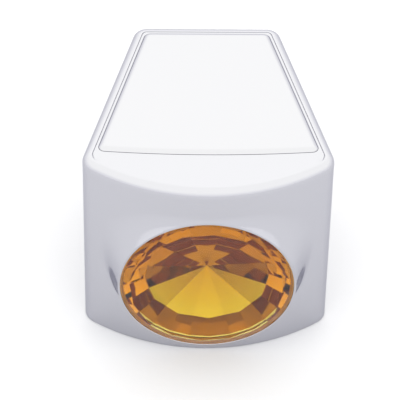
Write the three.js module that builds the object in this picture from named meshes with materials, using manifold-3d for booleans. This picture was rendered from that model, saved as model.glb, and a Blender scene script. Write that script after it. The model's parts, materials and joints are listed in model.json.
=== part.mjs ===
// A jewelled push-on knob for the slide lever of a dashboard control.
// A chrome-plated moulding, wide and curved at the front and narrow at the back, carries a round
// amber stone on its front face and a polished panel on its top. A moulded socket inside it holds
// a spring clip that grips the blade of the lever, and a cover closes the underside.
//
// Frame: millimetres, +Z up, and the front face looks along -Y. The origin is on the underside,
// midway between the stone's table and the back face. Every piece is built in this frame.

import * as THREE from "three";
import { mergeVertices } from "three/addons/utils/BufferGeometryUtils.js";
import Module from "manifold-3d";

const wasm = await Module();
wasm.setup();

// ---- Driving dimensions, in millimetres ----

const KNOB_DEPTH = 19.7;
const KNOB_HEIGHT = 18.3;
const BACK_WIDTH = 11.8;
const SIDE_TAPER = THREE.MathUtils.degToRad(15.25);
const FRONT_RADIUS = 16.4;
const FRONT_CORNER_RADIUS = 1.6;
const BACK_CORNER_RADIUS = 1.2;
const TOP_EDGE_RADIUS = 0.75;
const WALL = 1.6;
const FIT = 0.05;

const STONE_RADIUS = 7;
const STONE_CENTRE_Z = 7.65;
const TABLE_RADIUS = 6.15;
const CROWN_HEIGHT = 0.35;
const GIRDLE_THICKNESS = 0.35;
const PAVILION_DEPTH = 4.25;
const CROWN_FACETS = 16;
const MAIN_FACETS = 12;
const MAIN_FACET_TILT = THREE.MathUtils.degToRad(23.5);
const EDGE_FACETS = 24;
const EDGE_FACET_TILT = THREE.MathUtils.degToRad(46);
const STONE_TURN = THREE.MathUtils.degToRad(18);

const COLLAR_WALL = 0.25;
const COLLAR_PROUD = 0.06;
const SKIRT_WIDTH = 1.6;
const SKIRT_DEPTH = 2.7;
const CEMENT_WIDTH = 0.5;
const CEMENT_DEPTH = 0.9;
const CUP_RADIUS = 6.2;
const CUP_WALL = 0.16;
const CUP_TIP_FLAT = 0.3;
const POCKET_BACK_WALL = 1.5;

const PANEL_MARGIN = 1.1;
const PANEL_FRONT_SETBACK = 4.35;
const PANEL_FRONT_BOW_RADIUS = 100;
const PANEL_THICKNESS = 0.8;
const PANEL_PROUD = 0.25;
const CEILING = 1.4;

const BASE_THICKNESS = 1.5;
const PEG_RADIUS = 0.8;
const PEG_HEIGHT = 2;
const PEG_POINTS = [
  [-3.2, 1.5],
  [3.2, 1.5],
];

const LEVER_Z = 9.15;
const TUNNEL_WIDTH = 6.8;
const TUNNEL_HEIGHT = 3.6;
const TUNNEL_END_WALL = 1;
const CLIP_THICKNESS = 0.35;
const CLIP_WIDTH = 6.3;
const BLADE_GRIP = 1.3;

// ---- Places worked out from them ----

const BACK_Y = (KNOB_DEPTH + CROWN_HEIGHT) / 2;
const FRONT_Y = BACK_Y - KNOB_DEPTH;
const FRONT_CENTRE_Y = FRONT_Y + FRONT_RADIUS;
const GIRDLE_BACK_Y = FRONT_Y + GIRDLE_THICKNESS;
const CULET_Y = GIRDLE_BACK_Y + PAVILION_DEPTH;
const MAIN_SLOPE = Math.tan(MAIN_FACET_TILT);
const EDGE_SLOPE = Math.tan(EDGE_FACET_TILT);
const MAIN_RIDGE_SLOPE = MAIN_SLOPE * Math.cos(Math.PI / MAIN_FACETS);
const EDGE_RIDGE_SLOPE = EDGE_SLOPE * Math.cos(Math.PI / EDGE_FACETS);
const EDGE_ROW_RADIUS =
  (EDGE_SLOPE * STONE_RADIUS - PAVILION_DEPTH) / (EDGE_RIDGE_SLOPE - MAIN_RIDGE_SLOPE);
const SEAT_RADIUS = STONE_RADIUS + FIT;
const CUP_TIP_Y = CULET_Y + FIT + CUP_WALL;
const CAVITY_FRONT_Y = CUP_TIP_Y + FIT + POCKET_BACK_WALL;
const CAVITY_TOP_Z = KNOB_HEIGHT + PANEL_PROUD - PANEL_THICKNESS - CEILING;
const SOCKET_FRONT_Y = CAVITY_FRONT_Y + FIT;
const SOCKET_BACK_Y = BACK_Y - WALL - FIT;
const SOCKET_BOTTOM_Z = BASE_THICKNESS + FIT;
const SOCKET_TOP_Z = CAVITY_TOP_Z - FIT;
const TUNNEL_FRONT_Y = SOCKET_FRONT_Y + TUNNEL_END_WALL;
const FAR = 40;

// ---- Finishes ----

const chrome = { color: 0xe4e6ec, roughness: 0.06, metalness: 1 };
const polishedPanel = { color: 0xeceef2, roughness: 0.04, metalness: 1 };
const amberGlass = {
  color: 0xd08a1a,
  roughness: 0.03,
  metalness: 0,
  transparent: true,
  opacity: 0.8,
};
const brightTin = { color: 0xf0d890, roughness: 0.1, metalness: 1 };
const clearCement = { color: 0xe8dcc0, roughness: 0.35, metalness: 0 };
const blackPlastic = { color: 0x1c1c1e, roughness: 0.5, metalness: 0 };
const springSteel = { color: 0x8d9096, roughness: 0.3, metalness: 1 };

// ---- Solids ----

// A closed three.js geometry as a solid that can be joined and cut.
function toSolid(geometry) {
  const bare = geometry.clone();
  bare.deleteAttribute("normal");
  bare.deleteAttribute("uv");
  const merged = mergeVertices(bare, 1e-5);
  return new wasm.Manifold(
    new wasm.Mesh({
      numProp: 3,
      vertProperties: merged.attributes.position.array,
      triVerts: new Uint32Array(merged.index.array),
    }),
  );
}

// A solid as a three.js geometry.
function toGeometry(solid) {
  const mesh = solid.getMesh();
  const geometry = new THREE.BufferGeometry();
  geometry.setAttribute("position", new THREE.BufferAttribute(mesh.vertProperties, 3));
  geometry.setIndex(new THREE.BufferAttribute(mesh.triVerts, 1));
  const faceted = geometry.toNonIndexed();
  faceted.computeVertexNormals();
  return faceted;
}

// A box between two opposite corners.
function box(low, high) {
  const size = high.map((value, axis) => value - low[axis]);
  const middle = high.map((value, axis) => (value + low[axis]) / 2);
  return toSolid(new THREE.BoxGeometry(...size).translate(...middle));
}

// A flat shape drawn in X and Y, raised from bottomZ to topZ.
function prism(shape, bottomZ, topZ, curveSegments = 8) {
  const options = { depth: topZ - bottomZ, bevelEnabled: false, curveSegments };
  return toSolid(new THREE.ExtrudeGeometry(shape, options).translate(0, 0, bottomZ));
}

// A profile of [radius, distance along Y] turned about the stone's axis.
function turned(profile, segments = 64) {
  const points = profile.map(([radius, y]) => new THREE.Vector2(radius, y));
  return toSolid(new THREE.LatheGeometry(points, segments).translate(0, 0, STONE_CENTRE_Z));
}

// ---- The knob's plan ----

// Where a rounding of the front corner has its centre, the given distance inside both the curved
// front face and the tapered side.
function frontCornerCentre(distance) {
  const slope = Math.tan(SIDE_TAPER);
  const reach = BACK_WIDTH / 2 + slope * BACK_Y - distance / Math.cos(SIDE_TAPER);
  const a = 1 + slope * slope;
  const b = -2 * (reach * slope + FRONT_CENTRE_Y);
  const c = reach * reach + FRONT_CENTRE_Y ** 2 - (FRONT_RADIUS - distance) ** 2;
  const y = (-b - Math.sqrt(b * b - 4 * a * c)) / (2 * a);
  return new THREE.Vector2(reach - slope * y, y);
}

// The same for the back corner, between the tapered side and the flat back.
function backCornerCentre(distance) {
  const slope = Math.tan(SIDE_TAPER);
  const y = BACK_Y - distance;
  return new THREE.Vector2(BACK_WIDTH / 2 + slope * distance - distance / Math.cos(SIDE_TAPER), y);
}

// The keystone plan: a curved front, two tapered sides, a flat back and four rounded corners.
// The inset moves the whole outline inwards.
function planShape(inset) {
  const smallest = 0.3;
  const frontRadius = Math.max(FRONT_CORNER_RADIUS - inset, smallest);
  const backRadius = Math.max(BACK_CORNER_RADIUS - inset, smallest);
  const front = frontCornerCentre(inset + frontRadius);
  const back = backCornerCentre(inset + backRadius);
  const meet = Math.atan2(front.y - FRONT_CENTRE_Y, front.x);
  const shape = new THREE.Shape();
  shape.absarc(0, FRONT_CENTRE_Y, FRONT_RADIUS - inset, -Math.PI - meet, meet);
  shape.absarc(front.x, front.y, frontRadius, meet, SIDE_TAPER);
  shape.absarc(back.x, back.y, backRadius, SIDE_TAPER, Math.PI / 2);
  shape.absarc(-back.x, back.y, backRadius, Math.PI / 2, Math.PI - SIDE_TAPER);
  shape.absarc(-front.x, front.y, frontRadius, Math.PI - SIDE_TAPER, Math.PI - meet);
  return shape;
}

// The trapezoid of the top panel: the plan's sides and back, and a slightly bowed front edge.
function panelSolid(margin, setback, bottomZ, topZ) {
  const plan = prism(planShape(margin), bottomZ, topZ);
  const bow = new THREE.CylinderGeometry(
    PANEL_FRONT_BOW_RADIUS,
    PANEL_FRONT_BOW_RADIUS,
    topZ - bottomZ + 2,
    480,
  );
  bow.rotateX(Math.PI / 2);
  bow.translate(0, FRONT_Y + setback + PANEL_FRONT_BOW_RADIUS, (topZ + bottomZ) / 2);
  return plan.intersect(toSolid(bow));
}

// How far behind the girdle the ridges between the facets lie at a radius: along the main facets
// from the point out to EDGE_ROW_RADIUS, and along the edge facets from there to the girdle.
function ridgeDepth(radius) {
  return Math.min(
    PAVILION_DEPTH - MAIN_RIDGE_SLOPE * radius,
    EDGE_SLOPE * STONE_RADIUS - EDGE_RIDGE_SLOPE * radius,
  );
}

// ---- Pieces ----

// The outside of the moulding, with its rounded top edge.
function roundedBody() {
  const below = 2;
  const geometry = new THREE.ExtrudeGeometry(planShape(0), {
    depth: KNOB_HEIGHT + below - TOP_EDGE_RADIUS,
    bevelThickness: TOP_EDGE_RADIUS,
    bevelSize: TOP_EDGE_RADIUS,
    bevelOffset: -TOP_EDGE_RADIUS,
    bevelSegments: 3,
    curveSegments: 8,
  });
  geometry.translate(0, 0, -below);
  return toSolid(geometry).subtract(box([-FAR, -FAR, -FAR], [FAR, FAR, 0]));
}

// The pocket behind the front face: a bore for the girdle, a ledge for the cement, and a hollow
// in two cones that clears the reflector.
function stonePocket() {
  const coneStartY = GIRDLE_BACK_Y + FIT + CEMENT_DEPTH + FIT;
  const coneStartRadius = CUP_RADIUS + CUP_WALL + FIT;
  const bendY = GIRDLE_BACK_Y + ridgeDepth(EDGE_ROW_RADIUS) + FIT + CUP_WALL + FIT;
  return turned([
    [0, FRONT_Y - 3],
    [SEAT_RADIUS, FRONT_Y - 3],
    [SEAT_RADIUS, coneStartY],
    [coneStartRadius, coneStartY],
    [EDGE_ROW_RADIUS + CUP_WALL / 2 + FIT, bendY],
    [CUP_TIP_FLAT + CUP_WALL, CUP_TIP_Y + FIT],
    [0, CUP_TIP_Y + FIT],
  ]);
}

// The plain opening in the back wall that the lever's blade passes through.
function leverWindow() {
  const halfWidth = TUNNEL_WIDTH / 2;
  const halfHeight = TUNNEL_HEIGHT / 2;
  return box(
    [-halfWidth, BACK_Y - WALL - 1, LEVER_Z - halfHeight],
    [halfWidth, BACK_Y + 1, LEVER_Z + halfHeight],
  );
}

// The flat rim round the stone, with a skirt that runs from it back into the curved face.
function stoneCollar() {
  const collarRadius = SEAT_RADIUS + COLLAR_WALL;
  const collar = turned([
    [0, FRONT_Y - COLLAR_PROUD],
    [collarRadius, FRONT_Y - COLLAR_PROUD],
    [collarRadius + SKIRT_WIDTH, FRONT_Y + SKIRT_DEPTH],
    [0, FRONT_Y + SKIRT_DEPTH],
  ]);
  return collar.subtract(box([-FAR, -FAR, -FAR], [FAR, FAR, 0]));
}

function knobShell() {
  const cavity = prism(planShape(WALL), -1, CAVITY_TOP_Z).subtract(
    box([-FAR, -FAR, -FAR], [FAR, CAVITY_FRONT_Y, FAR]),
  );
  const panelBed = panelSolid(
    PANEL_MARGIN - FIT,
    PANEL_FRONT_SETBACK - FIT,
    KNOB_HEIGHT + PANEL_PROUD - PANEL_THICKNESS - FIT,
    KNOB_HEIGHT + 1,
  );
  return roundedBody()
    .add(stoneCollar())
    .subtract(stonePocket())
    .subtract(cavity)
    .subtract(panelBed)
    .subtract(leverWindow());
}

function topPanel() {
  const topZ = KNOB_HEIGHT + PANEL_PROUD;
  return panelSolid(PANEL_MARGIN, PANEL_FRONT_SETBACK, topZ - PANEL_THICKNESS, topZ);
}

// A large block on the outer side of a plane that faces outwards from the stone's axis. The plane
// holds the circle of the given radius at y, and leans back towards the axis by the given slope.
function facetBlock(radius, y, slope, turn, direction) {
  const lean = Math.atan(slope);
  const geometry = new THREE.BoxGeometry(FAR, FAR, FAR);
  geometry.translate(0, (direction * FAR) / 2, 0);
  geometry.rotateZ(-direction * lean);
  geometry.translate(radius, y, 0);
  geometry.rotateY(turn);
  geometry.translate(0, 0, STONE_CENTRE_Z);
  return toSolid(geometry);
}

// The stone: a wide flat table, a low crown, a narrow girdle and a pavilion in two steps, with
// main facets that meet at the point and a steeper row of edge facets next to the girdle.
function amberJewel() {
  let stone = turned([
    [0, FRONT_Y - CROWN_HEIGHT],
    [STONE_RADIUS, FRONT_Y - CROWN_HEIGHT],
    [STONE_RADIUS, CULET_Y],
    [0, CULET_Y],
  ]);
  const crownSlope = CROWN_HEIGHT / (STONE_RADIUS - TABLE_RADIUS);
  const rows = [
    [CROWN_FACETS, STONE_RADIUS, FRONT_Y, crownSlope, -1],
    [MAIN_FACETS, PAVILION_DEPTH / MAIN_SLOPE, GIRDLE_BACK_Y, MAIN_SLOPE, 1],
    [EDGE_FACETS, STONE_RADIUS, GIRDLE_BACK_Y, EDGE_SLOPE, 1],
  ];
  for (const [count, radius, y, slope, direction] of rows) {
    for (let i = 0; i < count; i += 1) {
      const turn = -STONE_TURN - ((i + 0.5) * 2 * Math.PI) / count;
      stone = stone.subtract(facetBlock(radius, y, slope, turn, direction));
    }
  }
  return stone;
}

// A thin bright cup behind the pavilion, bent where the facets bend, that throws the light back
// through the stone.
function reflectorCup() {
  const innerRimY = GIRDLE_BACK_Y + ridgeDepth(CUP_RADIUS) + FIT;
  const bendY = GIRDLE_BACK_Y + ridgeDepth(EDGE_ROW_RADIUS) + FIT;
  return turned([
    [0, CULET_Y + FIT],
    [EDGE_ROW_RADIUS, bendY],
    [CUP_RADIUS, innerRimY],
    [CUP_RADIUS + CUP_WALL, innerRimY],
    [EDGE_ROW_RADIUS + CUP_WALL / 2, bendY + CUP_WALL],
    [CUP_TIP_FLAT, CUP_TIP_Y],
    [0, CUP_TIP_Y],
  ]);
}

// The ring of clear cement that beds the girdle on the ledge of the pocket.
function jewelCement() {
  const frontY = GIRDLE_BACK_Y + FIT;
  const outer = STONE_RADIUS;
  const inner = STONE_RADIUS - CEMENT_WIDTH;
  const innerFrontY = frontY + ridgeDepth(inner);
  return turned([
    [inner, innerFrontY],
    [outer, frontY + ridgeDepth(outer)],
    [outer, frontY + CEMENT_DEPTH],
    [inner, frontY + CEMENT_DEPTH],
    [inner, innerFrontY],
  ]);
}

// A round peg or hole standing on the underside.
function peg(x, y, radius, bottomZ, topZ) {
  const geometry = new THREE.CylinderGeometry(radius, radius, topZ - bottomZ, 24);
  geometry.rotateX(Math.PI / 2);
  return toSolid(geometry.translate(x, y, (bottomZ + topZ) / 2));
}

// The plug that fills the hollow behind the stone and holds the tunnel for the lever.
function leverSocket() {
  const halfWidth = TUNNEL_WIDTH / 2;
  const halfHeight = TUNNEL_HEIGHT / 2;
  const plug = prism(planShape(WALL + FIT), SOCKET_BOTTOM_Z, SOCKET_TOP_Z).subtract(
    box([-FAR, -FAR, -FAR], [FAR, SOCKET_FRONT_Y, FAR]),
  );
  const tunnel = box(
    [-halfWidth, TUNNEL_FRONT_Y, LEVER_Z - halfHeight],
    [halfWidth, FAR, LEVER_Z + halfHeight],
  );
  return PEG_POINTS.reduce(
    (socket, [x, y]) =>
      socket.subtract(
        peg(x, y, PEG_RADIUS + FIT, 0, BASE_THICKNESS + PEG_HEIGHT + FIT),
      ),
    plug.subtract(tunnel),
  );
}

// A strip of spring steel folded into a U, with both arms bowed inwards to grip the blade.
function gripClip() {
  const arm = TUNNEL_HEIGHT / 2 - FIT - CLIP_THICKNESS / 2;
  const grip = (BLADE_GRIP + CLIP_THICKNESS) / 2;
  const innerY = TUNNEL_FRONT_Y + FIT + CLIP_THICKNESS / 2;
  const mouthY = SOCKET_BACK_Y - FIT - CLIP_THICKNESS / 2;
  const length = mouthY - innerY;
  const upperArm = [
    [mouthY, arm],
    [mouthY - length * 0.2, arm * 0.86],
    [innerY + length * 0.42, grip],
    [innerY + length * 0.16, arm * 0.86],
    [innerY + length * 0.03, arm * 0.5],
  ];
  const lowerArm = upperArm.map(([y, z]) => [y, -z]).reverse();
  const middle = [...upperArm, [innerY, 0], ...lowerArm];
  const line = new THREE.SplineCurve(middle.map(([y, z]) => new THREE.Vector2(y, z)));
  const steps = 48;
  const sides = [[], []];
  for (let i = 0; i <= steps; i += 1) {
    const point = line.getPoint(i / steps);
    const along = line.getTangent(i / steps);
    const across = new THREE.Vector2(-along.y, along.x).multiplyScalar(CLIP_THICKNESS / 2);
    sides[0].push(point.clone().add(across));
    sides[1].unshift(point.clone().sub(across));
  }
  const shape = new THREE.Shape([...sides[0], ...sides[1]]);
  const geometry = new THREE.ExtrudeGeometry(shape, { depth: CLIP_WIDTH, bevelEnabled: false });
  geometry.translate(0, 0, -CLIP_WIDTH / 2);
  const stand = new THREE.Matrix4().makeBasis(
    new THREE.Vector3(0, 1, 0),
    new THREE.Vector3(0, 0, 1),
    new THREE.Vector3(1, 0, 0),
  );
  geometry.applyMatrix4(stand);
  geometry.translate(0, 0, LEVER_Z);
  return toSolid(geometry);
}

// The plate that closes the underside, with two pegs that locate it in the socket.
function baseCover() {
  const plate = prism(planShape(WALL + FIT), 0, BASE_THICKNESS).subtract(
    box([-FAR, -FAR, -FAR], [FAR, SOCKET_FRONT_Y, FAR]),
  );
  return PEG_POINTS.reduce(
    (cover, [x, y]) => cover.add(peg(x, y, PEG_RADIUS, BASE_THICKNESS / 2, BASE_THICKNESS + PEG_HEIGHT)),
    plate,
  );
}

// ---- The assembly ----

function piece(name, solid, finish) {
  const material = new THREE.MeshStandardMaterial({ ...finish, flatShading: true });
  const mesh = new THREE.Mesh(toGeometry(solid), material);
  mesh.name = name;
  return mesh;
}

const stoneSetting = new THREE.Group();
stoneSetting.add(
  piece("amber_jewel", amberJewel(), amberGlass),
  piece("reflector_cup", reflectorCup(), brightTin),
  piece("jewel_cement_ring", jewelCement(), clearCement),
);

const leverGrip = new THREE.Group();
leverGrip.add(
  piece("lever_socket", leverSocket(), blackPlastic),
  piece("grip_clip", gripClip(), springSteel),
);

const knob = new THREE.Group();
knob.add(
  piece("knob_shell", knobShell(), chrome),
  piece("top_panel", topPanel(), polishedPanel),
  piece("base_cover", baseCover(), blackPlastic),
  stoneSetting,
  leverGrip,
);

export default knob;
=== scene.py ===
"""A jewelled push-on knob for a dashboard slide lever, and a small white studio to show it in.

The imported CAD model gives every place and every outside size. The visible pieces are made here as
finer meshes in the same frame, and each one stands for the CAD node whose place it takes.
"""

import json
import math

import bmesh
import bpy
from mathutils import Matrix, Vector

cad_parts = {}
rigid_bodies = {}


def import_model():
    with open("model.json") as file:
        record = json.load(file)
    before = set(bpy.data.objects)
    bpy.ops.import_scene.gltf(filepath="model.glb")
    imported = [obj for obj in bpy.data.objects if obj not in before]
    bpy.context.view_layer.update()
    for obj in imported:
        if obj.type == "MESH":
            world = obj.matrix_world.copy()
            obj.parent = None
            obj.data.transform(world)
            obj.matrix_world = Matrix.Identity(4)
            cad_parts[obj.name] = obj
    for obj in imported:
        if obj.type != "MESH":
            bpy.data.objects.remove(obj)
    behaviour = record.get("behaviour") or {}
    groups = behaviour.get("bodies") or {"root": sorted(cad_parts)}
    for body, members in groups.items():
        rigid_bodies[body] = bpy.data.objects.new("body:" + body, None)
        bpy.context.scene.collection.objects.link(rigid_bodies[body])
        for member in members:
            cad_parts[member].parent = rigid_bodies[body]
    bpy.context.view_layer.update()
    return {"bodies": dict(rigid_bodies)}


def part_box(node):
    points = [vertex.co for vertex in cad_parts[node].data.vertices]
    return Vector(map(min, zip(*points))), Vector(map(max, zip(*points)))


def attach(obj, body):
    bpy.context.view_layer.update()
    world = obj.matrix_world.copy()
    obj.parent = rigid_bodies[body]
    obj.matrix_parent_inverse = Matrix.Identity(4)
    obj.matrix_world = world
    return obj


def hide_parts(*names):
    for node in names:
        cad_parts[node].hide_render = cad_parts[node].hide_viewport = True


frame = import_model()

bl_info = {
    "name": "Jewelled Slide Lever Knob",
    "version": (1, 0, 0),
    "blender": (4, 5, 0),
    "location": "View3D > Sidebar > Lever Knob",
    "description": "Makes the pieces of a jewelled slide lever knob around its CAD frame",
    "category": "Object",
}

MM = 0.001
BODY = next(iter(frame["bodies"]))

# ---- Places read from the CAD frame, in metres ----

STONE_LOW, STONE_HIGH = (Vector(corner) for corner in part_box("amber_jewel"))
SHELL_LOW, SHELL_HIGH = (Vector(corner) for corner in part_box("knob_shell"))
PANEL_LOW, PANEL_HIGH = (Vector(corner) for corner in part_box("top_panel"))
SOCKET_LOW, SOCKET_HIGH = (Vector(corner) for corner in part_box("lever_socket"))
COVER_LOW, COVER_HIGH = (Vector(corner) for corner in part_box("base_cover"))
CLIP_LOW, CLIP_HIGH = (Vector(corner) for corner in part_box("grip_clip"))
CUP_LOW, CUP_HIGH = (Vector(corner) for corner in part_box("reflector_cup"))
CEMENT_HIGH = Vector(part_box("jewel_cement_ring")[1])

STONE_Z = (STONE_LOW.z + STONE_HIGH.z) / 2
STONE_RADIUS = (STONE_HIGH.x - STONE_LOW.x) / 2
TABLE_Y = STONE_LOW.y
CULET_Y = STONE_HIGH.y
BACK_Y = SHELL_HIGH.y
TOP_Z = SHELL_HIGH.z
LEVER_Z = (CLIP_LOW.z + CLIP_HIGH.z) / 2


# ---- Fixed sizes, in metres ----

FIT = 0.05 * MM
CUP_BEND_Y = CULET_Y - 1.75 * MM
CUP_POINT_RADIUS = 0.4 * MM
MOUTH_HALF_WIDTH = 3.4 * MM
MOUTH_HALF_HEIGHT = 1.8 * MM
PEG_XS = (-3.2 * MM, 3.2 * MM)
PEG_Y = 1.5 * MM
PEG_RADIUS = 0.8 * MM
PANEL_FRONT_CORNER = 0.45 * MM
PANEL_BACK_CORNER = 0.55 * MM
CLIP_THICKNESS = 0.35 * MM
CLIP_GRIP = 1.3 * MM
FAR = 20 * MM


# ---- Sizes and colours that a user would change ----


def srgb(code):
    """A hex colour such as '#C9CAD3' as linear red, green and blue."""
    values = [int(code[i : i + 2], 16) / 255 for i in (1, 3, 5)]
    return [v / 12.92 if v <= 0.04045 else ((v + 0.055) / 1.055) ** 2.4 for v in values]


def length(name, millimetres, text):
    """A size property, with its default given in millimetres."""
    return bpy.props.FloatProperty(
        name=name, description=text, default=millimetres * MM, unit="LENGTH", precision=5
    )


def colour(name, code, text):
    """A colour property, with its default given as a hex code."""
    return bpy.props.FloatVectorProperty(
        name=name, description=text, default=srgb(code), size=3, subtype="COLOR", min=0, max=1
    )


class ShellSizes(bpy.types.PropertyGroup):
    """The sizes of the plated moulding and its top panel."""

    back_width: length("Back width", 11.8, "Width of the narrow back before its corners are rounded")
    side_taper: bpy.props.FloatProperty(
        name="Side taper",
        description="Angle of each side wall to the middle plane",
        default=math.radians(15.25),
        subtype="ANGLE",
    )
    front_radius: length("Front radius", 16.4, "Radius of the curved front face seen from above")
    front_corner: length("Front corners", 1.6, "Radius of the upright front corners")
    back_corner: length("Back corners", 1.2, "Radius of the upright back corners")
    top_edge: length("Top edge", 0.75, "Radius of the rounded edge round the top")
    bottom_edge: length("Bottom edge", 0.12, "Radius of the small round at the underside")
    wall: length("Wall", 1.6, "Thickness of the moulding's walls")
    collar_wall: length("Collar rim", 0.2, "Width of the flat rim round the stone")
    collar_proud: length("Collar height", 0.06, "How far the collar stands in front of the face")
    skirt_top: length("Skirt at the top", 0.5, "Width of the skirt above the stone")
    skirt_side: length("Skirt at the sides", 1.5, "What the skirt gains at the stone's sides")
    skirt_corner: length("Skirt at the corners", 1.1, "What the skirt gains between top and sides")
    skirt_foot: bpy.props.FloatProperty(
        name="Skirt below",
        description="Share of the width that the skirt keeps below the stone",
        default=0.2,
        subtype="FACTOR",
    )
    panel_margin: length("Panel margin", 1.1, "Distance from the outline to the panel's sides")
    panel_setback: length("Panel setback", 4.35, "Distance from the front to the panel's front edge")
    panel_bow: length("Panel bow", 100.0, "Radius of the panel's slightly bowed front edge")
    panel_edge: length("Panel edge", 0.6, "Radius of the arc that rolls the panel's top edge down")
    panel_gap: length("Panel gap", 0.012, "Gap between the panel and its bed")
    groove: length("Groove", 0.07, "Depth of the fine line where the top's rounded edge ends")


class StoneSizes(bpy.types.PropertyGroup):
    """The cut of the stone."""

    table_radius: length("Table radius", 6.15, "Radius of the flat table in the middle of a facet")
    crown_height: length("Crown height", 0.35, "Height of the crown above the girdle")
    girdle: length("Girdle", 0.35, "Thickness of the girdle")
    crown_facets: bpy.props.IntProperty(
        name="Crown facets", description="Facets between table and girdle", default=16, min=6
    )
    main_facets: bpy.props.IntProperty(
        name="Main facets", description="Facets that meet at the point", default=12, min=4
    )
    main_tilt: bpy.props.FloatProperty(
        name="Main facet tilt",
        description="Angle of the facets that meet at the point to the table",
        default=math.radians(23.5),
        subtype="ANGLE",
    )
    edge_facets: bpy.props.IntProperty(
        name="Edge facets", description="Facets of the steeper row next to the girdle", default=24
    )
    edge_tilt: bpy.props.FloatProperty(
        name="Edge facet tilt",
        description="Angle of the steeper row next to the girdle to the table",
        default=math.radians(46),
        subtype="ANGLE",
    )
    turn: bpy.props.FloatProperty(
        name="Turn",
        description="How far the stone is turned in its seat",
        default=math.radians(18),
        subtype="ANGLE",
    )
    foil_gap: length("Foil gap", 0.02, "Gap between the pavilion and its bright backing")


class KnobColours(bpy.types.PropertyGroup):
    """The colours of the finishes."""

    chrome: colour("Chrome", "#BCBCC3", "Decorative chrome plate")
    panel: colour("Panel", "#BEBEC4", "Polished plate of the top panel")
    stone: colour("Stone", "#F6E945", "Colour that the stone lets through")
    foil: colour("Foil", "#D9DAC2", "Bright metal behind the stone")
    cement: colour("Cement", "#F2B766", "Amber cement")
    plastic: colour("Plastic", "#1B1B1D", "Black moulded plastic")
    steel: colour("Steel", "#8E9197", "Spring steel strip")
    floor: colour("Floor", "#DDDDE2", "Paper floor")


# ---- Meshes ----


class Keystone:
    """A keystone outline seen from above: a curved front, tapered sides, a flat back and rounded
    corners. It is sampled with the same number of points whatever its size, so that outlines can
    be joined point to point."""

    FRONT_STEPS = 96
    CORNER_STEPS = 12
    SIDE_STEPS = 20
    BACK_STEPS = 14
    SMALLEST = 0.05 * MM

    def __init__(self, front_y, front_radius, back_y, half_back, taper, front_corner, back_corner):
        self.centre_y = front_y + front_radius
        self.front_radius = front_radius
        self.back_y = back_y
        self.half_back = half_back
        self.taper = taper
        self.front_corner = front_corner
        self.back_corner = back_corner

    def side_x(self, y, distance):
        """X of the line that lies a distance inside the right side wall."""
        slope = math.tan(self.taper)
        return self.half_back + slope * (self.back_y - y) - distance / math.cos(self.taper)

    def front_centre(self, distance):
        """The point a distance inside both the curved front and the right side."""
        slope = math.tan(self.taper)
        reach = self.side_x(0, distance)
        a = 1 + slope * slope
        b = -2 * (reach * slope + self.centre_y)
        c = reach**2 + self.centre_y**2 - (self.front_radius - distance) ** 2
        y = (-b - math.sqrt(b * b - 4 * a * c)) / (2 * a)
        return reach - slope * y, y

    def points(self, inset):
        """The outline moved in by inset, anticlockwise from the left end of the front."""
        front_r = max(self.front_corner - inset, self.SMALLEST)
        back_r = max(self.back_corner - inset, self.SMALLEST)
        fx, fy = self.front_centre(inset + front_r)
        by = self.back_y - inset - back_r
        bx = self.side_x(by, inset + back_r)
        meet = math.atan2(fy - self.centre_y, fx)
        half = math.pi / 2
        arcs = [
            (0, self.centre_y, self.front_radius - inset, -math.pi - meet, meet, self.FRONT_STEPS),
            (fx, fy, front_r, meet, self.taper, self.CORNER_STEPS),
            (bx, by, back_r, self.taper, half, self.CORNER_STEPS),
            (-bx, by, back_r, half, math.pi - self.taper, self.CORNER_STEPS),
            (-fx, fy, front_r, math.pi - self.taper, math.pi - meet, self.CORNER_STEPS),
        ]
        lines = [0, self.SIDE_STEPS, self.BACK_STEPS, self.SIDE_STEPS, 0]
        found = []
        for k, (cx, cy, radius, start, end, steps) in enumerate(arcs):
            first = 0 if not found else 1
            for i in range(first, steps + 1):
                angle = start + (end - start) * i / steps
                found.append(Vector((cx + radius * math.cos(angle), cy + radius * math.sin(angle))))
            if lines[k]:
                ax, ay, radius, start = arcs[k + 1][:4]
                goal = Vector((ax + radius * math.cos(start), ay + radius * math.sin(start)))
                origin = found[-1].copy()
                found += [origin.lerp(goal, i / lines[k]) for i in range(1, lines[k] + 1)]
        return found[:-1]


def knob_plan(sizes):
    """The outline of the whole knob."""
    front_y = SHELL_LOW.y + sizes.collar_proud
    return Keystone(
        front_y,
        sizes.front_radius,
        BACK_Y,
        sizes.back_width / 2,
        sizes.side_taper,
        sizes.front_corner,
        sizes.back_corner,
    )


def panel_plan(sizes):
    """The outline of the top panel."""
    margin = sizes.panel_margin
    back_y = BACK_Y - margin
    half_back = knob_plan(sizes).side_x(back_y, margin)
    return Keystone(
        SHELL_LOW.y + sizes.collar_proud + sizes.panel_setback,
        sizes.panel_bow,
        back_y,
        half_back,
        sizes.side_taper,
        PANEL_FRONT_CORNER,
        PANEL_BACK_CORNER,
    )


def quarter(radius, steps):
    """Points (inset, drop) of a quarter round, from the upright wall up to the flat top."""
    angles = [math.pi / 2 * i / steps for i in range(steps + 1)]
    return [(radius * (1 - math.cos(a)), radius * (1 - math.sin(a))) for a in angles]


def smooth_step(share):
    """0 up to 0, 1 from 1 on, and a smooth run between them."""
    share = min(max(share, 0), 1)
    return share * share * (3 - 2 * share)


def join_rings(bm, lower, upper):
    """Quads between two closed rings, left out where either ring has no vertex."""
    count = len(lower)
    for i in range(count):
        j = (i + 1) % count
        corners = (lower[i], lower[j], upper[j], upper[i])
        if all(corner is not None for corner in corners):
            bm.faces.new(corners)


def outline_ring(bm, points, z):
    """A ring of vertices on an outline at a height."""
    return [bm.verts.new((p.x, p.y, z)) for p in points]


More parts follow.
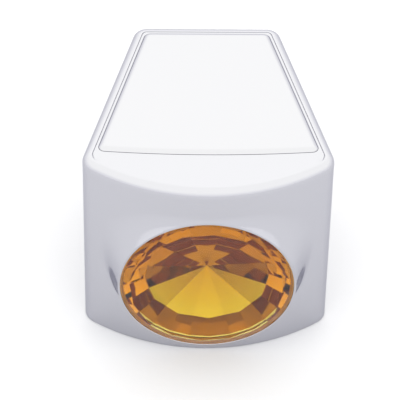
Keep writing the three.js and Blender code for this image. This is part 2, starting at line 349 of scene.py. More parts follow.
def to_object(bm, name):
    """Closes off a bmesh as a new object with its faces pointing outwards."""
    bmesh.ops.recalc_face_normals(bm, faces=bm.faces)
    mesh = bpy.data.meshes.new(name)
    bm.to_mesh(mesh)
    bm.free()
    piece = bpy.data.objects.new(name, mesh)
    bpy.context.scene.collection.objects.link(piece)
    return piece


def bake(piece):
    """Turns a piece with modifiers into a plain mesh."""
    bpy.context.view_layer.update()
    graph = bpy.context.evaluated_depsgraph_get()
    mesh = bpy.data.meshes.new_from_object(piece.evaluated_get(graph), depsgraph=graph)
    mesh.name = piece.name
    piece.modifiers.clear()
    piece.data = mesh
    return piece


def combine(piece, operation, others):
    """Cuts or joins other shapes into a piece and removes them."""
    for other in others:
        modifier = piece.modifiers.new("Combine", "BOOLEAN")
        modifier.operation = operation
        modifier.solver = "EXACT"
        modifier.object = other
    bake(piece)
    for other in others:
        bpy.data.objects.remove(other)
    return piece


def cut(piece, *cutters):
    """Takes the cutters' shapes out of a piece."""
    return combine(piece, "DIFFERENCE", cutters)


def join(piece, *others):
    """Joins overlapping shapes to a piece."""
    return combine(piece, "UNION", others)


def soften(piece, width, segments, angle=30):
    """Rounds every edge sharper than an angle."""
    modifier = piece.modifiers.new("Round", "BEVEL")
    modifier.width = width
    modifier.segments = segments
    modifier.limit_method = "ANGLE"
    modifier.angle_limit = math.radians(angle)
    modifier.use_clamp_overlap = True
    return bake(piece)


def smooth(piece, angle=32):
    """Smooth shading that leaves flat faces flat and keeps edges sharper than an angle."""
    piece.data.shade_smooth()
    piece.data.set_sharp_from_angle(angle=math.radians(angle))
    modifier = piece.modifiers.new("Weighted", "WEIGHTED_NORMAL")
    modifier.keep_sharp = True
    modifier.weight = 100
    return bake(piece)


def prism(name, points, low, high, inset=0.0, edge=0.0, steps=1):
    """A closed upright prism on an outline function, with its upper and lower edges rounded."""
    bm = bmesh.new()
    rise = quarter(edge, steps) if edge else [(0, 0)]
    rows = [(i, low + d) for i, d in reversed(rise)] + [(i, high - d) for i, d in rise]
    rings = [outline_ring(bm, points(inset + i), z) for i, z in rows]
    for lower, upper in zip(rings, rings[1:]):
        join_rings(bm, lower, upper)
    bm.faces.new(rings[0])
    bm.faces.new(rings[-1])
    return to_object(bm, name)


def block(name, low, high):
    """A plain box, used only to cut other shapes."""
    bm = bmesh.new()
    bmesh.ops.create_cube(bm, size=1)
    low, high = Vector(low), Vector(high)
    for vertex in bm.verts:
        vertex.co = [low[k] + (vertex.co[k] + 0.5) * (high[k] - low[k]) for k in range(3)]
    return to_object(bm, name)


def all_before(name, y):
    """A box of everything in front of a plane, used to cut a shape short."""
    return block(name, (-FAR, -FAR, -FAR), (FAR, y, 2 * FAR))


def peg(name, x, radius, low, high):
    """An upright round peg, or the hole for one."""
    bm = bmesh.new()
    bmesh.ops.create_cone(
        bm,
        cap_ends=True,
        segments=48,
        radius1=radius,
        radius2=radius,
        depth=high - low,
        matrix=Matrix.Translation((x, PEG_Y, (low + high) / 2)),
    )
    return to_object(bm, name)


def turned(name, profile, segments):
    """A solid of revolution about the stone's axis, from a closed profile of (radius, y)."""
    bm = bmesh.new()
    rings = []
    for radius, y in profile:
        ring = []
        for i in range(segments):
            a = 2 * math.pi * i / segments
            ring.append(bm.verts.new((radius * math.cos(a), y, STONE_Z + radius * math.sin(a))))
        rings.append(ring)
    for inner, outer in zip(rings, rings[1:] + rings[:1]):
        join_rings(bm, inner, outer)
    return to_object(bm, name)


# ---- Materials ----

WHITE = srgb("#FFFFFF")
WARM_WHITE = srgb("#FFFFF9")
PLATE_EDGE = srgb("#DDDDE2")
SHELL_HAZE = 0.11
PANEL_HAZE = 0.07
PLATE_WAVE = 0.0015 * MM
PLATE_MARKS = 0.0001 * MM
STONE_DENSITY = 640.0


def add(tree, kind, inputs=None, **settings):
    """Adds a node of a kind, sets its properties, and fills or links its inputs."""
    node = tree.nodes.new(kind)
    for key, value in settings.items():
        setattr(node, key, value)
    for key, value in (inputs or {}).items():
        socket = node.inputs[key]
        if isinstance(value, bpy.types.NodeSocket):
            tree.links.new(value, socket)
        else:
            socket.default_value = value
    return node


def blank(name):
    """A new material, its node tree emptied, and the tree's output."""
    material = bpy.data.materials.new(name)
    material.use_nodes = True
    tree = material.node_tree
    tree.nodes.clear()
    return material, tree, add(tree, "ShaderNodeOutputMaterial")


def rgba(values):
    """A colour with full opacity."""
    return (*values, 1.0)


def per_metre(millimetres):
    """The scale of a pattern whose features are this size."""
    return 1 / (millimetres * MM)


def plated(name, tint, haze):
    """Bright chrome plate: a mirror that is faintly hazy where it has been wiped, faintly wavy
    from the moulding under it, and lined with hair-fine polishing marks."""
    material, tree, output = blank(name)
    place = add(tree, "ShaderNodeTexCoord").outputs["Object"]
    cloud = add(
        tree,
        "ShaderNodeTexNoise",
        {"Vector": place, "Scale": per_metre(4.5), "Detail": 4.0, "Roughness": 0.6},
    )
    rough = add(
        tree,
        "ShaderNodeMapRange",
        {"Value": cloud.outputs["Fac"], "From Min": 0.3, "From Max": 0.7,
         "To Min": haze * 0.6, "To Max": haze * 1.4},
    )
    wave = add(
        tree,
        "ShaderNodeTexNoise",
        {"Vector": place, "Scale": per_metre(2.4), "Detail": 1.0, "Roughness": 0.4},
    )
    # Polishing marks are a few thousandths of a millimetre apart; these are drawn 0.12 mm apart
    # so that they show at all.
    stretched = add(tree, "ShaderNodeMapping", {"Vector": place, "Scale": (1.0, 0.08, 0.3)})
    marks = add(
        tree,
        "ShaderNodeTexNoise",
        {"Vector": stretched.outputs["Vector"], "Scale": per_metre(0.12), "Detail": 2.0},
    )
    waves = add(
        tree,
        "ShaderNodeBump",
        {"Height": wave.outputs["Fac"], "Distance": PLATE_WAVE, "Strength": 1.0},
    )
    fine = add(
        tree,
        "ShaderNodeBump",
        {"Height": marks.outputs["Fac"], "Distance": PLATE_MARKS, "Strength": 1.0,
         "Normal": waves.outputs["Normal"]},
    )
    shader = add(
        tree,
        "ShaderNodeBsdfPrincipled",
        {"Base Color": rgba(tint), "Metallic": 1.0, "Roughness": rough.outputs["Result"],
         "Specular Tint": rgba(PLATE_EDGE), "Normal": fine.outputs["Normal"]},
    )
    tree.links.new(shader.outputs["BSDF"], output.inputs["Surface"])
    return material


def amber_glass(tint):
    """Cut amber glass: clear polished glass of ordinary index, coloured through its depth, so it
    is yellow where light takes a short way through it and red-brown where the way is long."""
    material, tree, output = blank("amber_cut_glass")
    place = add(tree, "ShaderNodeTexCoord").outputs["Object"]
    wipe = add(
        tree,
        "ShaderNodeTexNoise",
        {"Vector": place, "Scale": per_metre(3.0), "Detail": 3.0},
    )
    rough = add(
        tree,
        "ShaderNodeMapRange",
        {"Value": wipe.outputs["Fac"], "From Min": 0.35, "From Max": 0.7,
         "To Min": 0.0, "To Max": 0.02},
    )
    shader = add(
        tree,
        "ShaderNodeBsdfPrincipled",
        {"Base Color": rgba(WHITE), "Roughness": rough.outputs["Result"], "IOR": 1.5,
         "Transmission Weight": 1.0},
    )
    colour_through = {"Color": rgba(tint), "Density": STONE_DENSITY}
    depth = add(tree, "ShaderNodeVolumeAbsorption", colour_through)
    tree.links.new(shader.outputs["BSDF"], output.inputs["Surface"])
    tree.links.new(depth.outputs["Volume"], output.inputs["Volume"])
    return material


def bright_foil(tint):
    """Pressed bright foil: a soft mirror with the fine grain of rolled metal."""
    material, tree, output = blank("bright_pressed_foil")
    place = add(tree, "ShaderNodeTexCoord").outputs["Object"]
    grain = add(
        tree,
        "ShaderNodeTexNoise",
        {"Vector": place, "Scale": per_metre(0.25), "Detail": 3.0},
    )
    rough = add(
        tree,
        "ShaderNodeMapRange",
        {"Value": grain.outputs["Fac"], "To Min": 0.02, "To Max": 0.12},
    )
    bump = add(tree, "ShaderNodeBump", {"Height": grain.outputs["Fac"], "Distance": 0.002 * MM})
    shader = add(
        tree,
        "ShaderNodeBsdfPrincipled",
        {"Base Color": rgba(tint), "Metallic": 1.0, "Roughness": rough.outputs["Result"],
         "Normal": bump.outputs["Normal"]},
    )
    tree.links.new(shader.outputs["BSDF"], output.inputs["Surface"])
    return material


def amber_cement(tint):
    """Aged amber cement: glossy and honey coloured, with a few small bubbles."""
    material, tree, output = blank("aged_amber_cement")
    place = add(tree, "ShaderNodeTexCoord").outputs["Object"]
    bubbles = add(tree, "ShaderNodeTexVoronoi", {"Vector": place, "Scale": per_metre(0.6)})
    spots = add(
        tree,
        "ShaderNodeMapRange",
        {"Value": bubbles.outputs["Distance"], "From Min": 0.08, "From Max": 0.2},
    )
    bump = add(tree, "ShaderNodeBump", {"Height": spots.outputs["Result"], "Distance": 0.03 * MM})
    shader = add(
        tree,
        "ShaderNodeBsdfPrincipled",
        {"Base Color": rgba(tint), "Roughness": 0.25, "Normal": bump.outputs["Normal"]},
    )
    tree.links.new(shader.outputs["BSDF"], output.inputs["Surface"])
    return material


def black_abs(tint):
    """Black ABS straight from a spark-eroded mould: a fine even grain and a dull sheen."""
    material, tree, output = blank("black_moulded_abs")
    place = add(tree, "ShaderNodeTexCoord").outputs["Object"]
    grain = add(
        tree,
        "ShaderNodeTexNoise",
        {"Vector": place, "Scale": per_metre(0.18), "Detail": 3.0, "Roughness": 0.65},
    )
    cloud = add(tree, "ShaderNodeTexNoise", {"Vector": place, "Scale": per_metre(5.0), "Detail": 3.0})
    rough = add(
        tree,
        "ShaderNodeMapRange",
        {"Value": cloud.outputs["Fac"], "To Min": 0.38, "To Max": 0.6},
    )
    bump = add(tree, "ShaderNodeBump", {"Height": grain.outputs["Fac"], "Distance": 0.02 * MM})
    shader = add(
        tree,
        "ShaderNodeBsdfPrincipled",
        {"Base Color": rgba(tint), "Roughness": rough.outputs["Result"],
         "Normal": bump.outputs["Normal"]},
    )
    tree.links.new(shader.outputs["BSDF"], output.inputs["Surface"])
    return material


def spring_strip(tint):
    """Rolled spring steel: a dull metal with lines that run along the strip."""
    material, tree, output = blank("rolled_spring_steel")
    place = add(tree, "ShaderNodeTexCoord").outputs["Object"]
    along = add(tree, "ShaderNodeMapping", {"Vector": place, "Scale": (1.0, 0.04, 0.04)})
    lines = add(
        tree,
        "ShaderNodeTexNoise",
        {"Vector": along.outputs["Vector"], "Scale": per_metre(0.1), "Detail": 3.0},
    )
    rough = add(
        tree,
        "ShaderNodeMapRange",
        {"Value": lines.outputs["Fac"], "To Min": 0.2, "To Max": 0.42},
    )
    bump = add(tree, "ShaderNodeBump", {"Height": lines.outputs["Fac"], "Distance": 0.004 * MM})
    shader = add(
        tree,
        "ShaderNodeBsdfPrincipled",
        {"Base Color": rgba(tint), "Metallic": 1.0, "Roughness": rough.outputs["Result"],
         "Normal": bump.outputs["Normal"]},
    )
    tree.links.new(shader.outputs["BSDF"], output.inputs["Surface"])
    return material


def paper(tint):
    """Seamless studio paper: matt and even, with the faint tooth of paper fibres."""
    material, tree, output = blank("studio_paper")
    place = add(tree, "ShaderNodeTexCoord").outputs["Object"]
    tooth = add(tree, "ShaderNodeTexNoise", {"Vector": place, "Scale": per_metre(0.5), "Detail": 4.0})
    bump = add(tree, "ShaderNodeBump", {"Height": tooth.outputs["Fac"], "Distance": 0.01 * MM})
    shader = add(
        tree,
        "ShaderNodeBsdfPrincipled",
        {"Base Color": rgba(tint), "Roughness": 0.9, "Specular IOR Level": 0.0,
         "Normal": bump.outputs["Normal"]},
    )
    tree.links.new(shader.outputs["BSDF"], output.inputs["Surface"])
    return material


def place_piece(piece, node, material):
    """Gives a finished piece its material and body, and lets it stand for its CAD node."""
    piece.data.materials.clear()
    piece.data.materials.append(material)
    for face in piece.data.polygons:
        face.material_index = 0
    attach(piece, BODY)
    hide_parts(node)


# ---- Operators ----


class KNOB_OT_shell(bpy.types.Operator):
    """Make the plated moulding with its collar, pocket, hollow and lever opening"""

    bl_idname = "knob.shell"
    bl_label = "Plated shell"

    def execute(self, context):
        sizes = context.scene.shell_sizes
        shell = self.skin(sizes)
        cut(shell, self.cavity(sizes), self.window())
        smooth(shell)
        tint = context.scene.knob_colours.chrome
        material = plated("chrome_plate", tint, SHELL_HAZE)
        place_piece(shell, "knob_shell", material)
        return {"FINISHED"}

    def skin(self, sizes):
        """The closed outside of the moulding, with the stone's pocket and the panel's bed."""
        bm = bmesh.new()
        plan = knob_plan(sizes)
        rows = self.wall_rows(sizes)
        low = next(k for k, (inset, _) in enumerate(rows) if inset == 0)
        high = max(k for k, (inset, _) in enumerate(rows) if inset == 0)
        rings = []
        for k, (inset, z) in enumerate(rows):
            ring = []
            line = k in (len(rows) - 3, len(rows) - 2)
            for i, p in enumerate(plan.points(inset)):
                open_front = low < k < high and 0 < i < plan.FRONT_STEPS
                dip = sizes.groove * self.behind(p.y) if line else 0
                ring.append(None if open_front else bm.verts.new((p.x, p.y, z - dip)))
            rings.append(ring)
        for lower, upper in zip(rings, rings[1:]):
            join_rings(bm, lower, upper)
        bm.faces.new(rings[0])
        self.panel_bed(bm, sizes, rings[-1])
        steps = plan.FRONT_STEPS
        edge = rings[low][: steps + 1]
        edge += [rings[k][steps] for k in range(low + 1, high)]
        edge += rings[high][steps::-1]
        edge += [rings[k][0] for k in range(high - 1, low, -1)]
        self.front_face(bm, sizes, edge)
        return to_object(bm, "knob_shell_plated")

    def behind(self, y):
        """0 in front of the panel, 1 beside it and behind it, with a smooth run-in between."""
        return smooth_step((y - PANEL_LOW.y) / MM + 1)

    def wall_rows(self, sizes):
        """Rows (inset, z) from the underside up the wall and over the rounded top edge."""
        foot = sizes.bottom_edge
        top = sizes.top_edge
        count = 72
        groove_step = 0.03 * MM
        rows = quarter(foot, 4)[:0:-1]
        rows += [(0.0, foot + (TOP_Z - top - foot) * k / count) for k in range(count + 1)]
        rows += [(i, TOP_Z - d) for i, d in quarter(top, 14)[1:]]
        rows += [(top + k * groove_step, TOP_Z) for k in (1, 2, 3, 4)]
        return rows

    def panel_bed(self, bm, sizes, ring):
        """The shallow recess in the top that the panel lies in."""
        bed = panel_plan(sizes)
        round_over = 0.03 * MM
        floor_z = PANEL_LOW.z - FIT
        rows = [(-FIT - round_over, TOP_Z), (-FIT, TOP_Z - round_over), (-FIT, floor_z)]
        for inset, z in rows:
            lower = outline_ring(bm, bed.points(inset), z)
            join_rings(bm, ring, lower)
            ring = lower
        bm.faces.new(ring)

    def front_face(self, bm, sizes, edge):
        """The curved front from the pocket's point out over the collar to the given edge loop."""
        steps = 26
        rings = None
        for column, rim in enumerate(edge):
            reach = Vector((rim.co.x, rim.co.z - STONE_Z)).length
            direction = Vector((rim.co.x, rim.co.z - STONE_Z)).normalized()
            line = [
                (direction.x * r, y, STONE_Z + direction.y * r)
                for r, y in self.collar_profile(sizes, direction, reach)
            ]
            foot = Vector(line[-1])
            for k in range(1, steps):
                share = (k / steps) ** 1.5
                x = foot.x + (rim.co.x - foot.x) * share
                z = foot.z + (rim.co.z - foot.z) * share
                line.append((x, self.face_y(sizes, x), z))
            if rings is None:
                rings = [[] for _ in line]
            for ring, co in zip(rings, line):
                ring.append(bm.verts.new(co))
        rings.append(edge)
        for inner, outer in zip(rings, rings[1:]):
            join_rings(bm, inner, outer)
        bm.faces.new(rings[0])

    def face_y(self, sizes, x):
        """Y of the curved front face at an X."""
        front_y = SHELL_LOW.y + sizes.collar_proud
        radius = sizes.front_radius
        return front_y + radius - math.sqrt(radius**2 - x**2)

    def collar_profile(self, sizes, direction, reach):
        """Points (radius, y) in one direction from the stone's axis: pocket, bore, lip, and the
        skirt, a parabola that blends the flat rim into the curved face inside reach."""
        bore = STONE_RADIUS + FIT
        outer = bore + sizes.collar_wall
        lip_y = SHELL_LOW.y
        lip = 0.05 * MM
        cup_radius = (CUP_HIGH.x - CUP_LOW.x) / 2
        profile = [
            (CUP_POINT_RADIUS, CUP_HIGH.y + FIT),
            (0.8 * cup_radius, CUP_BEND_Y),
            (cup_radius + 2 * FIT, CEMENT_HIGH.y + FIT),
            (bore, CEMENT_HIGH.y + FIT),
        ]
        profile += [(bore + i, lip_y + d) for i, d in quarter(lip, 3)]
        width = self.skirt_width(sizes, direction, reach - outer)
        proud = self.face_y(sizes, outer * direction.x) - lip_y
        steps = 18
        for k in range(steps + 1):
            share = k / steps
            radius = outer + width * share
            y = self.face_y(sizes, radius * direction.x) - proud * (1 - share) ** 2
            profile.append((radius, y))
        return profile

    def skirt_width(self, sizes, direction, room):
        """The skirt's width in one direction: widest at the stone's sides, where the rim stands
        furthest in front of the curved face, and narrowest below the stone."""
        side, rise = abs(direction.x), abs(direction.y)
        width = sizes.skirt_top + sizes.skirt_side * side**2
        width += sizes.skirt_corner * (2 * side * rise) ** 2
        width = min(width, 0.9 * room)
        upper = smooth_step(direction.y / 1.2 + 0.5)
        return width * (sizes.skirt_foot + (1 - sizes.skirt_foot) * upper)

    def cavity(self, sizes):
        """The hollow behind the stone, open at the underside."""
        hollow = prism("cavity", knob_plan(sizes).points, -MM, SOCKET_HIGH.z + FIT, sizes.wall)
        front = all_before("cavity_front", SOCKET_LOW.y - FIT)
        return cut(hollow, front)

    def window(self):
        """The opening in the back wall for the lever's blade, flared at its outer edge."""
        corner = 0.35 * MM
        flare = 0.18 * MM
        through = 2.6 * MM
        bm = bmesh.new()
        rows = [(BACK_Y - through, 0.0)]
        for k in range(5):
            a = math.pi / 2 * k / 4
            rows.append((BACK_Y - flare * math.cos(a), flare * (1 - math.cos(a))))
        rows.append((BACK_Y + MM, flare))
        rings = []
        for y, grow in rows:
            ring = []
            for k in range(32):
                quadrant, step = divmod(k, 8)
                a = math.pi / 2 * (quadrant + step / 7)
                sx = 1 if quadrant in (0, 3) else -1
                sz = 1 if quadrant in (0, 1) else -1
                x = sx * (MOUTH_HALF_WIDTH - corner) + (corner + grow) * math.cos(a)
                z = sz * (MOUTH_HALF_HEIGHT - corner) + (corner + grow) * math.sin(a)
                ring.append(bm.verts.new((x, y, LEVER_Z + z)))
            rings.append(ring)
        for lower, upper in zip(rings, rings[1:]):
            join_rings(bm, lower, upper)
        bm.faces.new(rings[0])
        bm.faces.new(rings[-1])
        return to_object(bm, "lever_window")


class KNOB_OT_top_panel(bpy.types.Operator):
    """Make the polished panel let into the top"""

    bl_idname = "knob.top_panel"
    bl_label = "Top panel"

    def execute(self, context):
        sizes = context.scene.shell_sizes
        plan = panel_plan(sizes)
        grown = sizes.panel_gap - FIT
        chamfer = 0.05 * MM
        roll = math.radians(52)
        steps = 10
        width = sizes.panel_edge * math.sin(roll)
        rows = [(grown + chamfer, PANEL_LOW.z), (grown, PANEL_LOW.z + chamfer)]
        for k in range(steps + 1):
            a = roll * (1 - k / steps)
            drop = sizes.panel_edge * (1 - math.cos(a))
            rows.append((grown + width - sizes.panel_edge * math.sin(a), PANEL_HIGH.z - drop))
        bm = bmesh.new()
        rings = [outline_ring(bm, plan.points(inset), z) for inset, z in rows]
        for lower, upper in zip(rings, rings[1:]):
            join_rings(bm, lower, upper)
        bm.faces.new(rings[0])
        bm.faces.new(rings[-1])
        panel = to_object(bm, "top_panel_polished")
        smooth(panel)
        tint = context.scene.knob_colours.panel
        material = plated("polished_panel_plate", tint, PANEL_HAZE)
        place_piece(panel, "top_panel", material)
        return {"FINISHED"}


def cut_stone(sizes, name, grow=0.0):
    """The cut stone, or the same shape grown outwards behind the girdle for its backing."""
    segments = 256
    radius = STONE_RADIUS + grow
    bm = bmesh.new()
    bmesh.ops.create_cone(
        bm,
        cap_ends=True,
        segments=segments,
        radius1=radius,
        radius2=radius,
        depth=CULET_Y - TABLE_Y + 4 * grow,
        matrix=Matrix.Translation((0, (CULET_Y + TABLE_Y) / 2 + 2 * grow, STONE_Z))
        @ Matrix.Rotation(math.pi / 2, 4, "X"),
    )
    front_y = TABLE_Y + sizes.crown_height
    back_y = front_y + sizes.girdle
    crown = math.atan(sizes.crown_height / (STONE_RADIUS - sizes.table_radius))
    cuts = [(sizes.crown_facets, crown, STONE_RADIUS, front_y, -1)] if not grow else []
    cuts.append((sizes.main_facets, sizes.main_tilt, 0, CULET_Y, 1))
    cuts.append((sizes.edge_facets, sizes.edge_tilt, STONE_RADIUS, back_y, 1))
    for count, tilt, reach, y, side in cuts:
        for i in range(count):
            turn = sizes.turn + 2 * math.pi * (i + 0.5) / count
            out = Vector((math.cos(turn), 0, math.sin(turn)))
            normal = out * math.sin(tilt) + Vector((0, side * math.cos(tilt), 0))
            point = Vector((0, y, STONE_Z)) + out * reach + normal * grow
            found = bmesh.ops.bisect_plane(
                bm,
                geom=bm.verts[:] + bm.edges[:] + bm.faces[:],
                plane_co=point,
                plane_no=normal,
                clear_outer=True,
                dist=1e-8,
            )
            rim = [e for e in found["geom_cut"] if isinstance(e, bmesh.types.BMEdge)]
            bmesh.ops.edgenet_fill(bm, edges=[e for e in rim if e.is_valid])
    bmesh.ops.remove_doubles(bm, verts=bm.verts, dist=1e-7)
    return to_object(bm, name)


class KNOB_OT_stone(bpy.types.Operator):
    """Make the cut stone"""

    bl_idname = "knob.stone"
    bl_label = "Cut stone"

    def execute(self, context):
        sizes = context.scene.stone_sizes
        stone = cut_stone(sizes, "amber_stone_cut")
        stone.data.shade_smooth()
        # The round girdle is drawn in steps of 1.4 degrees, so this keeps it smooth and leaves
        # every edge between two facets sharp.
        stone.data.set_sharp_from_angle(angle=math.radians(1.9))
        tint = context.scene.knob_colours.stone
        place_piece(stone, "amber_jewel", amber_glass(tint))
        return {"FINISHED"}


class KNOB_OT_reflector(bpy.types.Operator):
    """Make the bright backing that follows the stone's pavilion facets"""

    bl_idname = "knob.reflector"
    bl_label = "Bright backing"

    def execute(self, context):
        sizes = context.scene.stone_sizes
        wall = 0.1 * MM
        rim_setback = 0.62 * MM
        cup = cut_stone(sizes, "reflector_cup_pressed", sizes.foil_gap + wall)
        inside = cut_stone(sizes, "reflector_inside", sizes.foil_gap)
        rim_y = TABLE_Y + sizes.crown_height + sizes.girdle + rim_setback
        front = all_before("reflector_front", rim_y)
        cut(cup, inside, front)
        cup.data.shade_flat()
        tint = context.scene.knob_colours.foil
        place_piece(cup, "reflector_cup", bright_foil(tint))
        return {"FINISHED"}


class KNOB_OT_cement(bpy.types.Operator):
    """Make the ring of cement under the stone's girdle"""

    bl_idname = "knob.cement"
    bl_label = "Cement ring"

    def execute(self, context):
        girdle = context.scene.stone_sizes.girdle
        back_y = TABLE_Y + context.scene.stone_sizes.crown_height + girdle
        # The cement wets the glass, so its ring laps into the stone by the thickness of a film.
        film = 0.012 * MM
        sleeve = STONE_RADIUS + FIT - film
        ledge = 0.36 * MM
        inner = STONE_RADIUS - ledge
        bead = 0.05 * MM
        profile = [
            (inner, back_y + ledge),
            (STONE_RADIUS - film, back_y),
            (STONE_RADIUS - film, back_y - girdle + bead),
            (sleeve, back_y - girdle + bead),
            (sleeve, CEMENT_HIGH.y - bead),
            (sleeve - bead, CEMENT_HIGH.y),
            (inner + bead, CEMENT_HIGH.y),
            (inner, CEMENT_HIGH.y - bead),
        ]
        ring = turned("jewel_cement_bead", profile, 128)
        smooth(ring, 60)
        tint = context.scene.knob_colours.cement
        place_piece(ring, "jewel_cement_ring", amber_cement(tint))
        return {"FINISHED"}


class KNOB_OT_socket(bpy.types.Operator):
    """Make the moulded socket that takes the lever"""

    bl_idname = "knob.socket"
    bl_label = "Lever socket"

    def execute(self, context):
        sizes = context.scene.shell_sizes
        plan = knob_plan(sizes)
        inset = sizes.wall + FIT
        socket = prism("lever_socket_moulded", plan.points, SOCKET_LOW.z, SOCKET_HIGH.z, inset)
        front = all_before("socket_front", SOCKET_LOW.y)
        tunnel = block(
            "socket_tunnel",
            (-MOUTH_HALF_WIDTH, CLIP_LOW.y - FIT, LEVER_Z - MOUTH_HALF_HEIGHT),
            (MOUTH_HALF_WIDTH, FAR, LEVER_Z + MOUTH_HALF_HEIGHT),
        )
        holes = [peg("peg_hole", x, PEG_RADIUS + FIT, -MM, COVER_HIGH.z + FIT) for x in PEG_XS]
        cut(socket, front, tunnel, *holes)
        soften(socket, 0.12 * MM, 2, 40)
        smooth(socket)
        tint = context.scene.knob_colours.plastic
        place_piece(socket, "lever_socket", black_abs(tint))
        return {"FINISHED"}


class KNOB_OT_clip(bpy.types.Operator):
    """Sweep the spring clip along its bent line"""

    bl_idname = "knob.clip"
    bl_label = "Grip clip"

    def execute(self, context):
        steel = spring_strip(context.scene.knob_colours.steel)
        line = self.bent_line()
        modifier = line.modifiers.new("Sweep", "NODES")
        modifier.node_group = self.sweep_tree(steel)
        section = {"Width": CLIP_HIGH.x - CLIP_LOW.x, "Thickness": CLIP_THICKNESS}
        for item in modifier.node_group.interface.items_tree:
            if item.in_out == "INPUT" and item.name in section:
                modifier[item.identifier] = section[item.name]
        bpy.context.view_layer.update()
        graph = bpy.context.evaluated_depsgraph_get()
        mesh = bpy.data.meshes.new_from_object(line.evaluated_get(graph), depsgraph=graph)
        clip = bpy.data.objects.new("grip_clip_bent", mesh)
        context.scene.collection.objects.link(clip)
        bpy.data.objects.remove(line)
        bm = bmesh.new()
        bm.from_mesh(clip.data)
        bmesh.ops.remove_doubles(bm, verts=bm.verts, dist=1e-7)
        bmesh.ops.recalc_face_normals(bm, faces=bm.faces)
        bm.to_mesh(clip.data)
        bm.free()
        smooth(clip)
        place_piece(clip, "grip_clip", steel)
        return {"FINISHED"}

    def bent_line(self):
        """The middle line of the folded strip, from the mouth round the fold and back."""
        arm = (CLIP_HIGH.z - CLIP_LOW.z - CLIP_THICKNESS) / 2
        grip = (CLIP_GRIP + CLIP_THICKNESS) / 2
        inner = CLIP_LOW.y + CLIP_THICKNESS / 2
        mouth = CLIP_HIGH.y - CLIP_THICKNESS / 2
        reach = mouth - inner
        upper = [
            (mouth, arm),
            (mouth - reach * 0.2, arm * 0.86),
            (inner + reach * 0.42, grip),
            (inner + reach * 0.16, arm * 0.86),
            (inner + reach * 0.03, arm * 0.5),
        ]
        lower = [(y, -z) for y, z in reversed(upper)]
        points = upper + [(inner, 0)] + lower
        curve = bpy.data.curves.new("grip_clip_line", "CURVE")
        curve.dimensions = "3D"
        curve.resolution_u = 10
        spline = curve.splines.new("BEZIER")
        spline.bezier_points.add(len(points) - 1)
        for point, (y, z) in zip(spline.bezier_points, points):
            point.co = (0, y, LEVER_Z + z)
            point.handle_left_type = "AUTO"
            point.handle_right_type = "AUTO"
        line = bpy.data.objects.new("grip_clip_line", curve)
        bpy.context.scene.collection.objects.link(line)
        return line

    def sweep_tree(self, material):
        """A node tree that sweeps a flat strip section along a curve."""
        tree = bpy.data.node_groups.new("Sweep strip", "GeometryNodeTree")
        face = tree.interface
        face.new_socket("Geometry", in_out="INPUT", socket_type="NodeSocketGeometry")
        for name in ("Width", "Thickness"):
            socket = face.new_socket(name, in_out="INPUT", socket_type="NodeSocketFloat")
            socket.subtype = "DISTANCE"
        face.new_socket("Geometry", in_out="OUTPUT", socket_type="NodeSocketGeometry")
        entry = add(tree, "NodeGroupInput")
        section = add(
            tree,
            "GeometryNodeCurvePrimitiveQuadrilateral",
            {"Width": entry.outputs["Thickness"], "Height": entry.outputs["Width"]},
        )
        rounded = add(
            tree,
            "GeometryNodeFilletCurve",
            {"Curve": section.outputs["Curve"], "Radius": 0.08 * MM, "Count": 3},
            mode="POLY",
        )
        upright = add(
            tree,
            "GeometryNodeSetCurveNormal",
            {"Curve": entry.outputs["Geometry"], "Normal": (1.0, 0.0, 0.0)},
            mode="FREE",
        )
        sweep = add(
            tree,
            "GeometryNodeCurveToMesh",
            {"Curve": upright.outputs["Curve"], "Profile Curve": rounded.outputs["Curve"],
             "Fill Caps": True},
        )
        real = add(tree, "GeometryNodeRealizeInstances", {"Geometry": sweep.outputs["Mesh"]})
        painted = add(
            tree,
            "GeometryNodeSetMaterial",
            {"Geometry": real.outputs["Geometry"], "Material": material},
        )
        end = add(tree, "NodeGroupOutput")
        tree.links.new(painted.outputs["Geometry"], end.inputs["Geometry"])
        return tree


class KNOB_OT_cover(bpy.types.Operator):
    """Make the cover that closes the underside"""

    bl_idname = "knob.cover"
    bl_label = "Base cover"

    def execute(self, context):
        sizes = context.scene.shell_sizes
        plan = knob_plan(sizes)
        inset = sizes.wall + FIT
        top = SOCKET_LOW.z - FIT
        cover = prism("base_cover_moulded", plan.points, COVER_LOW.z, top, inset)
        front = all_before("cover_front", COVER_LOW.y)
        rim = 1.4 * MM
        recess_depth = 0.2 * MM
        peg_root = 0.5 * MM
        recess = prism("cover_recess", plan.points, -MM, recess_depth, inset + rim)
        cut(recess, all_before("recess_front", COVER_LOW.y + rim))
        cut(cover, front, recess)
        pegs = [peg("peg", x, PEG_RADIUS, peg_root, COVER_HIGH.z) for x in PEG_XS]
        join(cover, *pegs)
        soften(cover, 0.1 * MM, 2, 40)
        smooth(cover)
        place_piece(cover, "base_cover", bpy.data.materials["black_moulded_abs"])
        return {"FINISHED"}


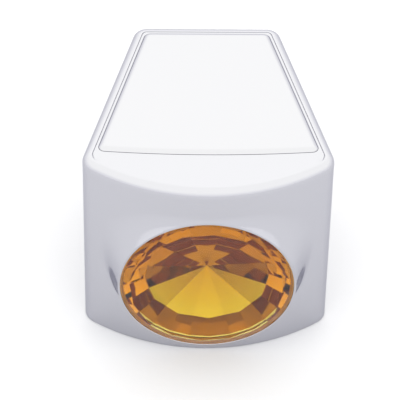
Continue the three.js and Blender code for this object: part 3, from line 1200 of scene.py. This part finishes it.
class KNOB_OT_studio(bpy.types.Operator):
    """Make the paper floor, the soft white surroundings that give all the light, and the camera"""

    bl_idname = "knob.studio"
    bl_label = "Studio"

    def execute(self, context):
        scene = context.scene
        self.floor(scene)
        self.surroundings(scene)
        self.camera(scene)
        scene.view_settings.view_transform = "Standard"
        scene.cycles.max_bounces = 40
        scene.cycles.glossy_bounces = 24
        scene.cycles.transmission_bounces = 32
        return {"FINISHED"}

    def floor(self, scene):
        """A wide sheet of paper under the knob."""
        bm = bmesh.new()
        bmesh.ops.create_grid(bm, x_segments=8, y_segments=8, size=1.5)
        mesh = bpy.data.meshes.new("studio_floor")
        bm.to_mesh(mesh)
        bm.free()
        floor = bpy.data.objects.new("studio_floor", mesh)
        floor.data.materials.append(paper(scene.knob_colours.floor))
        scene.collection.objects.link(floor)

    def surroundings(self, scene):
        """A white tent: even at the horizon, brighter and a little warmer overhead, and
        brightest where a soft light stands behind the knob."""
        world = bpy.data.worlds.new("white_tent")
        scene.world = world
        world.use_nodes = True
        tree = world.node_tree
        tree.nodes.clear()
        place = add(tree, "ShaderNodeTexCoord").outputs["Generated"]
        axes = add(tree, "ShaderNodeSeparateXYZ", {"Vector": place})
        rise = add(
            tree,
            "ShaderNodeMapRange",
            {"Value": axes.outputs["Z"], "From Min": 0.0, "From Max": 0.7},
            interpolation_type="SMOOTHSTEP",
        )
        to_light = (0.0, 0.79, 0.613)
        facing = add(tree, "ShaderNodeVectorMath", {0: place, 1: to_light}, operation="DOT_PRODUCT")
        glow = add(
            tree,
            "ShaderNodeMapRange",
            {"Value": facing.outputs["Value"], "From Min": 0.8, "From Max": 1.0,
             "To Min": 0.0, "To Max": 0.1},
            interpolation_type="SMOOTHSTEP",
        )
        horizon_level = 1.37
        overhead_gain = 0.36
        level = add(
            tree,
            "ShaderNodeMath",
            {0: rise.outputs["Result"], 1: overhead_gain, 2: horizon_level},
            operation="MULTIPLY_ADD",
        )
        total = add(tree, "ShaderNodeMath", {0: level.outputs["Value"], 1: glow.outputs["Result"]})
        tone = add(
            tree,
            "ShaderNodeMix",
            {"Factor": rise.outputs["Result"], 6: rgba(WHITE), 7: rgba(WARM_WHITE)},
            data_type="RGBA",
        )
        light = add(
            tree,
            "ShaderNodeBackground",
            {"Color": tone.outputs[2], "Strength": total.outputs["Value"]},
        )
        output = add(tree, "ShaderNodeOutputWorld")
        tree.links.new(light.outputs["Background"], output.inputs["Surface"])

    def camera(self, scene):
        """A long lens at 45 degrees above the knob, a little to its left."""
        distance = 0.241
        rise = math.radians(45)
        swing = math.radians(-1.4)
        roll = math.radians(1.14)
        centre = Vector((0, (SHELL_LOW.y + BACK_Y) / 2, TOP_Z / 2))
        level = math.cos(rise)
        away = Vector((math.sin(swing) * level, -math.cos(swing) * level, math.sin(rise)))
        position = centre + away * distance
        forward = -away
        right = forward.cross(Vector((0, 0, 1))).normalized()
        up = right.cross(forward)
        shift_right = 0.49 * MM
        shift_up = 1.09 * MM
        aim = centre - right * shift_right - up * shift_up
        forward = (aim - position).normalized()
        right = forward.cross(Vector((0, 0, 1))).normalized()
        up = right.cross(forward)
        level_right = right * math.cos(roll) + up * math.sin(roll)
        level_up = up * math.cos(roll) - right * math.sin(roll)
        data = bpy.data.cameras.new("studio_camera")
        data.sensor_width = 36
        data.lens = 260.8
        data.clip_start = 0.01
        camera = bpy.data.objects.new("studio_camera", data)
        camera.matrix_world = Matrix(
            (
                (level_right.x, level_up.x, -forward.x, position.x),
                (level_right.y, level_up.y, -forward.y, position.y),
                (level_right.z, level_up.z, -forward.z, position.z),
                (0, 0, 0, 1),
            )
        )
        scene.collection.objects.link(camera)
        scene.camera = camera


OPERATORS = (
    KNOB_OT_studio,
    KNOB_OT_shell,
    KNOB_OT_top_panel,
    KNOB_OT_stone,
    KNOB_OT_reflector,
    KNOB_OT_cement,
    KNOB_OT_socket,
    KNOB_OT_clip,
    KNOB_OT_cover,
)


class KNOB_PT_panel(bpy.types.Panel):
    """The knob's pieces, each with the button that makes it"""

    bl_idname = "KNOB_PT_panel"
    bl_label = "Jewelled lever knob"
    bl_space_type = "VIEW_3D"
    bl_region_type = "UI"
    bl_category = "Lever Knob"

    def draw(self, context):
        for operator in OPERATORS:
            self.layout.operator(operator.bl_idname)


GROUPS = {
    "shell_sizes": ShellSizes,
    "stone_sizes": StoneSizes,
    "knob_colours": KnobColours,
}


def register():
    for group in GROUPS.values():
        bpy.utils.register_class(group)
    for name, group in GROUPS.items():
        setattr(bpy.types.Scene, name, bpy.props.PointerProperty(type=group))
    for operator in OPERATORS:
        bpy.utils.register_class(operator)
    bpy.utils.register_class(KNOB_PT_panel)


def unregister():
    bpy.utils.unregister_class(KNOB_PT_panel)
    for operator in reversed(OPERATORS):
        bpy.utils.unregister_class(operator)
    for name, group in GROUPS.items():
        delattr(bpy.types.Scene, name)
        bpy.utils.unregister_class(group)


def main():
    register()
    for operator in OPERATORS:
        family, name = operator.bl_idname.split(".")
        getattr(getattr(bpy.ops, family), name)()


if __name__ == "__main__":
    main()
